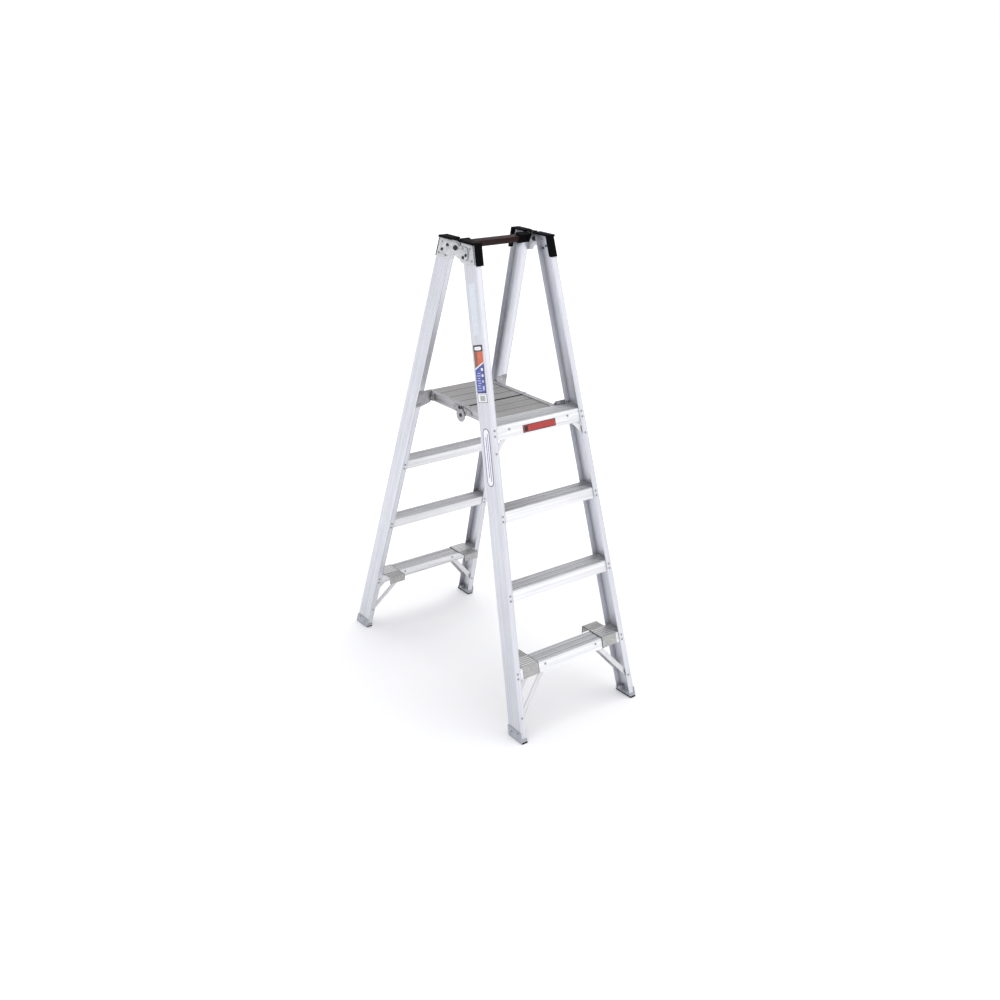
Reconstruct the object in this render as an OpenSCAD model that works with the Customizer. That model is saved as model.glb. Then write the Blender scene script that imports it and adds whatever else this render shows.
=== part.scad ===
// Double-sided platform step ladder.
// Two aluminium channel frames hinged together at the top, with a folding
// two-part platform between them. Millimetres, +Z up, front frame towards -Y,
// left towards -X, origin on the floor under the middle of the ladder.

/* [Frames] */
// Lean of each frame from vertical, degrees
incline = 15.45; // [15.2:0.05:15.7]
// Distance from the middle of the ladder to each rail centre line on the floor
foot_offset = 569; // [566:1:572]
// Outside width of each frame at the floor
base_width = 594; // [584:1:604]
// Inward lean of each rail seen from the front, degrees
splay = 3.39; // [3.3:0.01:3.45]
// Height of the top hinge axis
hinge_height = 1790; // [1786:1:1794]

/* [Rails] */
// Depth of the rail channel
rail_depth = 76; // [74:1:78]
// Width of the rail flanges
flange_width = 25; // [24:1:26]
// Thickness of the rail flanges
flange_thickness = 2.6; // [2.2:0.1:3]
// Thickness of the rail web
web_thickness = 2.4; // [2:0.1:2.8]

/* [Steps] */
// Height of the lowest step above the floor
first_step = 278; // [274:1:282]
// Distance between steps measured along the rail
step_pitch = 304.8; // [303:0.1:306]
// Depth of the step aprons
step_apron = 42; // [40:1:44]
// Sheet thickness of the steps
step_sheet = 2.2; // [2:0.1:2.4]

/* [Platform] */
// Height of the platform above the floor
deck_height = 1175; // [1173:1:1177]
// Half of the outside width of the folding platform
deck_half = 156; // [154:0.5:156.5]
// Height of the platform side channels
deck_channel = 33; // [32:0.5:33.5]
// Distance of the front platform pivots in front of the middle
pivot_offset = 186; // [185:0.5:187]
// Distance of the rear platform pivots behind the middle
rear_pivot_offset = 195; // [193:0.5:195.5]
// Depth of the front beam apron
beam_apron = 52; // [50:1:54]

/* [Hidden] */
$fn = 40;

ALU = [0.80, 0.81, 0.84];
DECK = [0.68, 0.67, 0.66];
ZINC = [0.72, 0.73, 0.72];
BLACK = [0.06, 0.06, 0.07];
SHOE = [0.55, 0.57, 0.62];
MAROON = [0.20, 0.09, 0.08];
GREY = [0.60, 0.60, 0.61];
RED = [0.66, 0.26, 0.26];

// Sides of a frame in its own y: away from the other frame, and facing it
OUTER = -1;
INNER = 1;
SIDES = [OUTER, INNER];

gap = 0.05;              // play between touching pieces
rivet_shank = 2.4;       // radii
rivet_hole = 2.45;
pivot_pin = 4.95;
pivot_bore = 5.0;

half_depth = rail_depth / 2;
inner_half = half_depth - flange_thickness - gap;   // half depth inside the channel
rail_top = hinge_height + 26;

brace_sheet = 3;
bracket_sheet = 3;
bracket_face = half_depth + bracket_sheet + gap;    // y of the bracket's free face
bracket_x = deck_half + 4.2;                        // inner face of the bracket leg
front_plate = 3.2;       // hinge sheet and its gap, front frame
rear_plate = 2.0;        // hinge sheet and its gap, rear frame
shoe_wrap = 2.8;         // reach of the shoe outside the rail

deck_bottom = deck_height - deck_channel;           // underside of the side channels
pivot_height = deck_height - deck_channel / 2;

// ---------------------------------------------------------------- frame geometry
// A frame is drawn upright, its outer side towards -y, and then leaned by front() or rear().

// frame [y, z] of a point given in the side view of the ladder
function to_frame(y, z) = [
  (y + foot_offset) * cos(incline) - z * sin(incline),
  (y + foot_offset) * sin(incline) + z * cos(incline)
];
// half width of the frame, outside of web, at frame height z
function half_width(z) = base_width / 2 - z * tan(splay);
// frame height at which a height above the floor is reached, at frame depth y
function level_z(height, y) = height / cos(incline) + y * tan(incline);
function tread_z(side, height) = level_z(height, side * inner_half);
function step_top(i) = first_step + (i - 1) * step_pitch * cos(incline);

hinge = to_frame(0, hinge_height);
hinge_half = half_width(hinge[1]);    // web plane at the hinge
function pivot(is_front) =
  to_frame(is_front ? -pivot_offset : -rear_pivot_offset, pivot_height);

module front() translate([0, -foot_offset, 0]) rotate([-incline, 0, 0]) children();
module rear() mirror([0, 1, 0]) front() children();
// undoes front(), for shapes tied to the floor
module world() rotate([incline, 0, 0]) translate([0, foot_offset, 0]) children();
module right() mirror([1, 0, 0]) children();
module both() {
  children();
  right() children();
}
// along the left rail, origin on its web at the floor
module rail_axis() translate([-base_width / 2, 0, 0]) rotate([0, splay, 0]) children();
// on the web plane, origin at the hinge, axes turned back to vertical
module web_plane()
  rail_axis() translate([0, hinge[0], hinge[1] / cos(splay)]) rotate([incline, 0, 0]) children();
// slab between two heights above the floor, in frame coordinates
module slab(z0, z1) world() translate([-600, -1500, z0]) cube([1200, 3000, z1 - z0]);

// children drawn as (y, z), extruded along +X
module extrude_x(length) rotate([90, 0, 90]) linear_extrude(height = length) children();
// children drawn as (x, z), extruded from depth y on a side towards the middle of the rail
module extrude_in(side, y, thickness)
  translate([0, side > 0 ? y : thickness - y, 0])
    rotate([90, 0, 0]) linear_extrude(height = thickness) children();

// children's +z pointing out of a side of the frame, at point [x, z]
module on_side(side, point, y = 0)
  translate([point[0], side * y, point[1]]) rotate([-90 * side, 0, 0]) children();
// children's +z pointing to -X, at point [y, z]
module on_left(point, x = 0)
  translate([-x, point[0], point[1]]) rotate([0, -90, 0]) children();

module hole(side, point) on_side(side, point) cylinder(h = 100, r = rivet_hole);
module holes(side, points) for (point = points) hole(side, point);
module x_hole(point, radius, x = -400, length = 400)
  translate([x, point[0], point[1]]) rotate([0, 90, 0]) cylinder(h = length, r = radius);
module web_hole(point) x_hole(point, rivet_hole, -10, 20);

// ---------------------------------------------------------------- fasteners
// round or tapered length starting at height z
module disc(z, h, r, tip = undef)
  translate([0, 0, z]) cylinder(h = h, r1 = r, r2 = is_undef(tip) ? r : tip);

// Fasteners have the underside of the head at z = 0.
module shank(grip) disc(-grip - 0.4, grip + 0.5, rivet_shank);
module rivet(grip) {
  disc(0, 1.3, 4.3, 3.8);
  disc(1.3, 0.9, 3.8, 2.2);
  shank(grip);
  disc(-grip - 1.6, 1.6, 3.4);
}
module hex_bolt(grip, radius) {
  rotate(15) disc(0, 4, radius, $fn = 6);
  disc(0, 1, radius + 1);
  shank(grip);
  disc(-grip - 3, 3, radius - 1, $fn = 6);
}

// ---------------------------------------------------------------- fastener places
// Distances of the rivets below the top of a tread
step_drops = [15, 34];
beam_drops = [12.5, 34];
// rivet on the left flange, [x, z]
function flange_point(side, height, drop) =
  let (z = tread_z(side, height) - drop) [-(half_width(z) - 13), z];
module row_holes(side, height, drops)
  for (drop = drops) hole(side, flange_point(side, height, drop));

// Brace ends, [x, z]: on the apron, then on the flange
knee_drop = 190;
function knee_ends(side) = let (z = tread_z(side, first_step)) [
  [-(half_width(z) - 150), z - 14],
  [-(half_width(z - knee_drop) - 13.4), z - knee_drop]
];
beam_z = tread_z(OUTER, deck_height);
beam_brace_drop = 99;
beam_brace_ends = [
  [-143, beam_z - 19],
  [-(half_width(beam_z - beam_brace_drop) - 12), beam_z - beam_brace_drop]
];
knee_width = 20;
beam_brace_width = 18;

// Platform bracket rivets, [x, z]
function flange_pair(z) = [for (inset = [8, 18.5]) [-(half_width(z) - inset), z]];
bracket_high = flange_pair(1236);
bracket_low = flange_pair(1184);
bracket_rivets = concat(bracket_high, bracket_low);

// Hinge plate fasteners, [y, z] on the web plane from the hinge
front_bolts = [[-69, -17], [-52, -28]];
front_web_rivets = [[-46, 5], [-86, 8], [-104, -33]];
rear_bolts = [[-89, -19], [-56, 2]];
rear_web_rivets = [[-110, -34], [-88, 10], [-67, -38]];
// Shoe rivets, [y, z] along the rail
shoe_rivets = [[-20, 30], [20, 30]];

// Top bar, square tube on the inner side of the rear frame
bar_width = 24;
bar_wall = 2;
bar_y = half_depth + gap + bracket_sheet + gap + bar_width / 2;
bar_z = hinge[1] + 1;
bar_half = hinge_half - 24;
bar_rivets = [for (z = [-9, 9]) [-(half_width(bar_z) - 9), bar_z + z]];

// ---------------------------------------------------------------- rails
module rail_section() {
  groove_pitch = 7.6;
  groove_width = 1.4;
  notch = 0.8;
  difference() {
    union() {
      translate([0, -half_depth]) square([web_thickness, rail_depth]);
      for (y = [-half_depth, half_depth - flange_thickness])
        translate([0, y]) square([flange_width, flange_thickness]);
    }
    for (i = [-4:4])
      translate([-0.5, i * groove_pitch - groove_width / 2]) square([0.9, groove_width]);
    for (side = SIDES, x = [2.6, flange_width - 3.2])
      translate([x, side * half_depth - notch / 2]) square([notch, notch]);
  }
}

// left rail of a frame
module rail(is_front) difference() {
  rail_axis() translate([0, 0, -30]) linear_extrude(height = 2000) rail_section();
  slab(-200, 8.6);
  slab(rail_top, rail_top + 300);
  for (side = SIDES) {
    for (i = [1:3]) row_holes(side, step_top(i), step_drops);
    if (is_front) row_holes(side, deck_height, beam_drops);
    hole(side, knee_ends(side)[1]);
  }
  if (is_front) hole(OUTER, beam_brace_ends[1]);
  else holes(INNER, bar_rivets);
  holes(INNER, bracket_rivets);
  web_plane()
    for (point = is_front ? concat(front_bolts, front_web_rivets)
                          : concat(rear_bolts, rear_web_rivets))
      web_hole(point);
  rail_axis() for (point = shoe_rivets) web_hole(point);
}
module front_rail_left() color(ALU) front() rail(true);
module front_rail_right() color(ALU) front() right() rail(true);
module rear_rail_left() color(ALU) rear() rail(false);
module rear_rail_right() color(ALU) rear() right() rail(false);

// ---------------------------------------------------------------- braces
// round-ended bar between two points
module bar_shape(ends, width) {
  run = ends[1] - ends[0];
  union() {
    for (end = ends) translate(end) circle(r = width / 2);
    translate(ends[0]) rotate(atan2(run[1], run[0]))
      translate([0, 0.06 - width / 2]) square([norm(run), width - 0.12]);
  }
}
// flat bar behind the apron
module brace(side, ends, width)
  extrude_in(side, inner_half - step_sheet - gap, brace_sheet) difference() {
    bar_shape(ends, width);
    for (end = ends) translate(end) circle(r = rivet_hole);
  }
// rivet hole in the apron, and the notch in its return lip where the brace passes
module brace_cut(side, ends, width) {
  hole(side, ends[0]);
  extrude_in(side, inner_half - step_sheet + 0.05, brace_sheet + 0.55)
    bar_shape(ends, width + 1);
}
module knee_braces() both() for (side = SIDES) brace(side, knee_ends(side), knee_width);
module front_knee_braces() color(ALU) front() knee_braces();
module rear_knee_braces() color(ALU) rear() knee_braces();
module beam_braces() color(ALU) front() both() brace(OUTER, beam_brace_ends, beam_brace_width);

// ---------------------------------------------------------------- steps
// Two long grooves and a row of ribs on the tread
groove_width = 5.5;
groove_depth = 2.6;
groove_places = [-inner_half + 17, inner_half - 25];
rib_count = 15;
rib_width = 1.8;
rib_margin = 3.2;
lip_width = 6;           // return lip under each apron

function clear_of_groove(y, groove) = abs(y - groove) > groove_width / 2 + 1.4;
// on the tread surface in the (y, z) view, turned level with the floor
module on_tread(height, y) translate([y, level_z(height, y)]) rotate(incline) children();

module tread_section(height, apron) {
  edge = inner_half;
  wall = inner_half - step_sheet;
  lip = inner_half - lip_width;
  sheet = step_sheet * 1.05;          // tread sheet measured along the frame
  outer_top = tread_z(OUTER, height);
  inner_top = tread_z(INNER, height);
  outer_low = outer_top - apron;
  inner_low = inner_top - apron;
  difference() {
    union() {
      polygon([
        [-edge, outer_low], [-edge, outer_top], [edge, inner_top], [edge, inner_low],
        [lip, inner_low], [lip, inner_low + step_sheet], [wall, inner_low + step_sheet],
        [wall, level_z(height, wall) - sheet], [-wall, level_z(height, -wall) - sheet],
        [-wall, outer_low + step_sheet], [-lip, outer_low + step_sheet], [-lip, outer_low]
      ]);
      for (y = groove_places) on_tread(height, y)
        translate([-groove_width / 2 - step_sheet, -groove_depth - step_sheet])
          square([groove_width + 2 * step_sheet, groove_depth + step_sheet - 0.6]);
    }
    for (y = groove_places) on_tread(height, y)
      translate([-groove_width / 2, -groove_depth]) square([groove_width, 8]);
  }
}
module tread_ribs(height) for (i = [0:rib_count - 1]) {
  y = -inner_half + rib_margin + i * 2 * (inner_half - rib_margin) / (rib_count - 1);
  if (clear_of_groove(y, groove_places[0]) && clear_of_groove(y, groove_places[1]))
    on_tread(height, y) translate([-rib_width / 2, -0.7]) square([rib_width, rib_width]);
}
// volume between the two webs
module between_webs() {
  height = 2000;
  margin = web_thickness / cos(splay) + 0.2;
  low = half_width(0) - margin;
  high = half_width(height) - margin;
  rotate([90, 0, 0]) translate([0, 0, -150]) linear_extrude(height = 300)
    polygon([[-low, 0], [low, 0], [high, height], [-high, height]]);
}
module across() intersection() {
  translate([-300, 0, 0]) extrude_x(600) children();
  between_webs();
}
// full-width tread; children are further cuts for its left end
module tread(height, apron, drops) difference() {
  union() {
    across() tread_section(height, apron);
    across() tread_ribs(height);
  }
  both() {
    for (side = SIDES) row_holes(side, height, drops);
    children();
  }
}
module step(i)
  tread(step_top(i), step_apron, step_drops)
    if (i == 1) for (side = SIDES) brace_cut(side, knee_ends(side), knee_width);
module front_step_1() color(ALU) front() step(1);
module front_step_2() color(ALU) front() step(2);
module front_step_3() color(ALU) front() step(3);
module rear_step_1() color(ALU) rear() step(1);
module rear_step_2() color(ALU) rear() step(2);
module rear_step_3() color(ALU) rear() step(3);

// lip on the inner edge of the beam, beside the folding deck
module beam_lip() {
  sheet = 2.2;
  margin = 2.2;
  edge_y = -foot_offset + inner_half * cos(incline)
    + tread_z(INNER, deck_height) * sin(incline);
  translate([-bracket_x + margin, edge_y - 2, deck_height - sheet])
    cube([2 * (bracket_x - margin), 8.6, sheet]);
}
module front_beam() color(ALU) {
  front() tread(deck_height, beam_apron, beam_drops) {
    brace_cut(OUTER, beam_brace_ends, beam_brace_width);
    holes(INNER, bracket_low);
  }
  beam_lip();
}

// folded sheet cover over the left end of the lowest step
module cover() {
  sheet = 1.6;
  width = 77;
  end_y = -411;                       // inner edge, in ladder coordinates
  under = first_step + 1.3;
  over = under + sheet;
  hem = first_step - 28;
  inside = -inner_half - 0.1;
  outside = inside - sheet;
  low = tread_z(OUTER, first_step) - step_apron;
  translate([-241, 0, 0]) extrude_x(width) polygon([
    [outside, low], [inside, low], [inside, level_z(under, inside)],
    to_frame(end_y - sheet, under), to_frame(end_y - sheet, hem),
    to_frame(end_y, hem), to_frame(end_y, over), [outside, level_z(over, outside)]
  ]);
}
module front_step_covers() color(GREY) front() both() cover();
module rear_step_covers() color(GREY) rear() both() cover();

// ---------------------------------------------------------------- hinge plates
// sheet on the web, its free face at the given distance from it; children are its outline
module web_plate(face, layer, points)
  web_plane() translate([-face, 0, 0]) extrude_x(layer - gap) difference() {
    union() children();
    for (point = points) translate(point) circle(r = rivet_hole);
  }
module hinge_hole() x_hole(hinge, pivot_bore, -260, 120);

// Outlines are [y, z] from the hinge.
module front_gusset()
  web_plate(front_plate, front_plate, concat(front_bolts, front_web_rivets)) {
    polygon([[-28, 25.6], [-102, 25.6], [-121, -44], [-50, -50], [-36, -48], [-28, -40]]);
    translate([-50, -40]) circle(r = 10);
  }
module hinge_plate() difference() {
  web_plate(2 * front_plate, front_plate, concat(front_bolts, [front_web_rivets[0]])) {
    circle(r = 20);
    polygon([
      [-70, 11], [-76, 5], [-80, -26], [-72, -34], [-50, -40], [-20, -36], [4, -19], [4, 11]
    ]);
    translate([-50, -30]) circle(r = 10);
    translate([-22, -18]) circle(r = 19);
  }
  hinge_hole();
}
module rear_gusset() difference() {
  web_plate(rear_plate, rear_plate, concat(rear_bolts, rear_web_rivets)) {
    polygon([
      [8, 25.6], [-102, 25.6], [-121, -44], [-50, -50], [-18, -42], [4, -20]
    ]);
    circle(r = 25);
    translate([-26, -30]) circle(r = 16);
  }
  hinge_hole();
}
module front_gusset_left() color(ZINC) front() front_gusset();
module front_gusset_right() color(ZINC) front() right() front_gusset();
module front_hinge_plates() color(ZINC) front() both() hinge_plate();
module rear_gusset_left() color(ZINC) rear() rear_gusset();
module rear_gusset_right() color(ZINC) rear() right() rear_gusset();

module plate_bolts(points, face)
  both() web_plane() for (point = points)
    on_left(point, face) hex_bolt(face + web_thickness, 5);
module front_plate_bolts() color(BLACK) front() plate_bolts(front_bolts, 2 * front_plate);
module rear_plate_bolts() color(BLACK) rear() plate_bolts(rear_bolts, rear_plate);

module hinge_bolt() on_left(hinge, hinge_half) difference() {
  union() {
    disc(8.4, 4.6, 7);                // head
    disc(13, 1.2, 7, 5.4);
    disc(7.1, 1.3, 10);               // washer
    disc(-12, 22, pivot_pin);
    disc(-9.6, 7, 8.5, $fn = 6);      // nut
    disc(-2.6, 1.2, 9.5);             // washer
  }
  disc(12.4, 5, 3, $fn = 6);          // socket in the head
}
module hinge_bolts() color(BLACK) front() both() hinge_bolt();

// ---------------------------------------------------------------- top caps
cap_wrap = 4.4;          // reach of the cap outside the outer flange
cap_side = 5.8;          // reach of the cap outside the web
module cap_bar(x, y, width, depth) translate([x, y, 1700]) cube([width, depth, 260]);
module cap_body() {
  outer = -half_depth - cap_wrap;
  depth = rail_depth + cap_wrap;
  union() {
    // sheet over the end of the rail
    intersection() {
      rail_axis() cap_bar(-cap_side, outer, flange_width + 14, depth);
      slab(rail_top + 0.1, rail_top + 6);
    }
    // leg down the outer flange, folded round its free edge
    intersection() {
      rail_axis() union() {
        cap_bar(-0.6, outer, flange_width + 8.8, 4.3);
        cap_bar(flange_width + 0.2, -half_depth - 0.5, 8, flange_thickness + 3);
        cap_bar(flange_width - 9, -half_depth + flange_thickness + 0.2, 12, 2.3);
      }
      slab(rail_top - 74, rail_top + 1);
    }
    // lip down the web side
    intersection() {
      rail_axis() cap_bar(-cap_side, outer, 2.4, depth);
      slab(rail_top - 2, rail_top + 1);
    }
  }
}
// cap with a tongue reaching over the middle, rounded at its end
module rear_cap() {
  x = -hinge_half - 3.4;
  width = 9;
  union() {
    cap_body();
    world() translate([x, -34, rail_top + 0.1]) cube([width, 40, 4]);
    intersection() {
      world() translate([x, 5, rail_top - 1]) rotate([0, 90, 0]) cylinder(h = width, r = 7);
      slab(rail_top + 0.1, rail_top + 20);
    }
  }
}
module front_caps() color(BLACK) front() both() cap_body();
module rear_caps() color(BLACK) rear() both() rear_cap();

// ---------------------------------------------------------------- feet
module foot_bar(x, y, width, depth) translate([x, y, -60]) cube([width, depth, 200]);
module shoe() {
  outer = -half_depth - shoe_wrap;
  depth = rail_depth + 2 * shoe_wrap;
  clearance = 0.15;
  inset = flange_thickness + 0.3;
  post = 15;
  post_hole = 9.8;
  union() {
    difference() {
      union() {
        // plate on the web
        intersection() {
          rail_axis() foot_bar(-shoe_wrap, outer, shoe_wrap - clearance, depth);
          slab(0.8, 41);
        }
        // sole with short lips up the flanges
        intersection() {
          rail_axis() foot_bar(-0.6, outer, flange_width + 1, depth);
          slab(6, 17);
        }
      }
      // room for the rail
      intersection() {
        rail_axis()
          foot_bar(-clearance, -half_depth - clearance, 80, rail_depth + 2 * clearance);
        slab(8.5, 100);
      }
      rail_axis() for (point = shoe_rivets) web_hole(point);
    }
    // upstand inside the channel
    intersection() {
      rail_axis()
        foot_bar(web_thickness + 0.2, -half_depth + inset, 2.4, rail_depth - 2 * inset);
      slab(8, 18);
    }
    // hollow posts
    for (y = [-24, 24]) intersection() {
      rail_axis() difference() {
        foot_bar(8, y - post / 2, post, post);
        translate([10.6, y - post_hole / 2, -70]) cube([post_hole, post_hole, 220]);
      }
      slab(8, 21);
    }
  }
}
// sole pad, grooved underneath
module pad() {
  wrap = 3.4;
  groove = 2.6;
  groove_step = 9;
  difference() {
    intersection() {
      rail_axis() foot_bar(0, -half_depth - wrap, flange_width + 1, rail_depth + 2 * wrap);
      slab(0, 5.95);
    }
    world() for (i = [-4:4])
      translate([-400, -foot_offset + i * groove_step - groove / 2, -1])
        cube([400, groove, 2.8]);
  }
}
module front_shoes() color(SHOE) front() both() shoe();
module rear_shoes() color(SHOE) rear() both() shoe();
module front_pads() color(BLACK) front() both() pad();
module rear_pads() color(BLACK) rear() both() pad();

// ---------------------------------------------------------------- platform brackets
// plate on the inner flange and a leg that carries the platform pivot
module bracket(is_front) {
  pin = pivot(is_front);
  low = 1173;
  high = 1246;
  leg_top = pin[1] + 27;
  back = half_depth + gap;
  difference() {
    union() {
      extrude_in(INNER, bracket_face, bracket_sheet) polygon([
        [-(half_width(low) - 2), low], [-(half_width(low) - 24), low],
        [-bracket_x, 1186], [-bracket_x, leg_top],
        [-(half_width(high) - 14), high], [-(half_width(high) - 2), high]
      ]);
      translate([-bracket_x - bracket_sheet, 0, 0]) extrude_x(bracket_sheet) union() {
        polygon([
          [back, 1190], [back, leg_top], [half_depth + 8, leg_top],
          [pin[0] + 8, pin[1] + 12], [pin[0], pin[1] - 14]
        ]);
        translate(pin) circle(r = 15);
      }
    }
    x_hole(pin, pivot_bore, -300, 200);
    holes(INNER, bracket_rivets);
    if (is_front) row_holes(INNER, deck_height, beam_drops);
  }
}
module front_bracket_left() color(ZINC) front() bracket(true);
module front_bracket_right() color(ZINC) front() right() bracket(true);
module rear_bracket_left() color(ZINC) rear() bracket(false);
module rear_bracket_right() color(ZINC) rear() right() bracket(false);

module pivot_head() {
  disc(bracket_x + 3.1, 1.2, 10);
  disc(bracket_x + 4.3, 2.6, 7.5);
  disc(bracket_x + 6.9, 1.4, 7.5, 5);
}
module front_pivot_bolts() color(ZINC) front() both() on_left(pivot(true)) {
  pivot_head();
  disc(deck_half - 11, bracket_x + 4 - deck_half + 11, pivot_pin);
  disc(deck_half + 0.15, 3.9, 8.5);             // spacer
  disc(deck_half - 9.8, 7, 7.2, $fn = 6);       // nut
}
module rear_pivot_bolts() color(ZINC) rear() both() on_left(pivot(false)) {
  pivot_head();
  disc(deck_half + 1.2, 7.2, pivot_pin);
}

// ---------------------------------------------------------------- top bar
module top_bar() color(MAROON) rear() translate([0, bar_y, bar_z]) {
  length = 2 * bar_half;
  bore = bar_width - 2 * bar_wall;
  difference() {
    translate([-length / 2, -bar_width / 2, -bar_width / 2])
      cube([length, bar_width, bar_width]);
    translate([-length, -bore / 2, -bore / 2]) cube([2 * length, bore, bore]);
  }
}
module bar_socket() {
  low = bar_z - 15;
  clearance = 0.1;
  bore = bar_width + clearance;
  // plate on the flange
  difference() {
    translate([-(hinge_half - 3), half_depth + gap, low])
      cube([flange_width + 20, bracket_sheet, 30]);
    holes(INNER, bar_rivets);
  }
  // box round the end of the bar
  difference() {
    translate([-(hinge_half - 21), half_depth + gap + 1, low]) cube([54, 28, 33]);
    translate([-bar_half - clearance, bar_y - bore / 2, bar_z - bore / 2])
      cube([80, bore, bore]);
  }
}
module bar_sockets() color(BLACK) rear() both() bar_socket();

// ---------------------------------------------------------------- labels
label_sheet = 0.4;
// Labels on the left web: height of the middle along the rail, width, height
web_labels = [[1648, 40, 190], [1508, 56, 22], [1469, 56, 52], [1391, 56, 100], [1322, 56, 30]];
module labels() color(RED) front() {
  x = -label_sheet - gap;
  for (label = web_labels) rail_axis()
    translate([x, -label[1] / 2, label[0] - label[2] / 2])
      cube([label_sheet, label[1], label[2]]);
  // long label with round ends
  rail_axis() translate([x, 0, 1100]) extrude_x(label_sheet) union() {
    translate([-20, -90]) square([40, 180]);
    for (z = [-90, 90]) translate([0, z]) circle(r = 20);
  }
  // label on the beam apron
  translate([-80, -inner_half - label_sheet - gap, beam_z - 45]) cube([160, label_sheet, 29]);
}

// ---------------------------------------------------------------- rivets of a frame
step_grip = flange_thickness + gap + step_sheet;
bracket_layer = bracket_sheet + gap;
brace_layer = brace_sheet + gap;

module row_rivets(side, height, drops, y, grip)
  for (drop = drops) on_side(side, flange_point(side, height, drop), y) rivet(grip);
// rivets at both ends of a brace, with a ring that packs it off the flange
module brace_rivets(side, ends) {
  on_side(side, ends[0], inner_half) rivet(step_sheet + brace_layer);
  on_side(side, ends[1], half_depth) {
    rivet(step_grip + brace_layer);
    disc(-step_grip, step_sheet, 4.2);
  }
}
// rivets through the inner flange and a sheet lying on it
module bracket_row(points, grip)
  for (point = points) on_side(INNER, point, bracket_face) rivet(grip + bracket_layer);
module web_rivet(point, face) on_left(point, face) rivet(face + web_thickness);
module web_rivets(is_front) {
  points = is_front ? front_web_rivets : rear_web_rivets;
  // the first front rivet also holds the hinge plate
  web_plane() for (i = [0:2])
    web_rivet(points[i], !is_front ? rear_plate : i == 0 ? 2 * front_plate : front_plate);
  rail_axis() for (point = shoe_rivets) web_rivet(point, shoe_wrap);
}
module frame_rivets(is_front) both() {
  for (side = SIDES) {
    for (i = [1:3]) row_rivets(side, step_top(i), step_drops, half_depth, step_grip);
    brace_rivets(side, knee_ends(side));
  }
  if (is_front) {
    row_rivets(OUTER, deck_height, beam_drops, half_depth, step_grip);
    row_rivets(INNER, deck_height, beam_drops, bracket_face, step_grip + bracket_layer);
    brace_rivets(OUTER, beam_brace_ends);
  } else {
    bracket_row(bar_rivets, flange_thickness);
  }
  bracket_row(bracket_high, flange_thickness);
  bracket_row(bracket_low, is_front ? step_grip : flange_thickness);
  web_rivets(is_front);
}
module front_rivets() color(ZINC) front() frame_rivets(true);
module rear_rivets() color(ZINC) rear() frame_rivets(false);

// ---------------------------------------------------------------- folding platform
// From here on everything is in ladder coordinates.
seam_front = -12;        // rear end of the front half
seam_rear = -8;          // front end of the rear half
deck_end = 252;          // rear end of the platform
channel_sheet = 2.5;
mid_axis = [0, deck_bottom - 5];      // axis of the middle joint, [y, z]
stop = [6, deck_height - 8];          // stop bolt, [y, z]
mid_hole = 4.0;                       // radii
stop_hole = 3.05;
front_ear_face = deck_half + 3.05;
rear_ear_face = deck_half + 6.6;
// Ear rivets, [y, z]
front_ear_rivets = [[-31, deck_bottom + 17], [-57, deck_bottom + 15]];
rear_ear_rivets = [[29, deck_bottom + 9], [40, deck_bottom + 21]];

front_plank_width = (seam_front + 194) / 3;
rear_plank_width = (deck_end - 2 - seam_rear) / 4;
// y of the plank middles, counted away from the seam
front_planks = [for (i = [1:3]) seam_front - (i - 0.5) * front_plank_width];
rear_planks = [for (i = [1:4]) seam_rear + (i - 0.5) * rear_plank_width];

module top_hole(y) translate([-deck_half + 12, y, deck_bottom]) cylinder(h = 100, r = 2.05);
module channel_section() {
  translate([-deck_half, deck_bottom]) square([channel_sheet, deck_channel]);
  translate([-deck_half, deck_height - channel_sheet]) square([22, channel_sheet]);
  translate([-deck_half, deck_bottom]) square([20, channel_sheet]);
}
// left channel from y0 to y1, trimmed to the (y, z) outline given as children
module side_channel(y0, y1, pivot_y, ear_rivets, planks) difference() {
  intersection() {
    translate([0, y1, 0]) rotate([90, 0, 0]) linear_extrude(height = y1 - y0)
      channel_section();
    translate([-deck_half - 5, 0, 0]) extrude_x(60) children();
  }
  x_hole([pivot_y, pivot_height], pivot_bore);
  for (point = ear_rivets) x_hole(point, rivet_hole);
  for (y = planks) top_hole(y);
}
module front_channel() {
  end_radius = deck_channel / 2;
  side_channel(-pivot_offset - end_radius - 5, seam_front, -pivot_offset,
               front_ear_rivets, front_planks) {
    translate([-pivot_offset, pivot_height]) circle(r = end_radius);
    translate([-pivot_offset, deck_bottom]) square([pivot_offset, deck_channel]);
  }
}
module rear_channel() {
  corner = 8;
  length = deck_end - seam_rear;
  difference() {
    side_channel(seam_rear, deck_end, rear_pivot_offset, rear_ear_rivets, rear_planks) {
      for (z = [deck_bottom + corner, deck_height - corner])
        translate([deck_end - corner, z]) circle(r = corner);
      translate([seam_rear, deck_bottom]) square([length - corner, deck_channel]);
      translate([seam_rear, deck_bottom + corner]) square([length, deck_channel - 2 * corner]);
    }
    x_hole(stop, stop_hole);
  }
}
module deck_front_channel_left() color(ALU) front_channel();
module deck_front_channel_right() color(ALU) right() front_channel();
module deck_rear_channel_left() color(ALU) rear_channel();
module deck_rear_channel_right() color(ALU) right() rear_channel();

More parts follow.
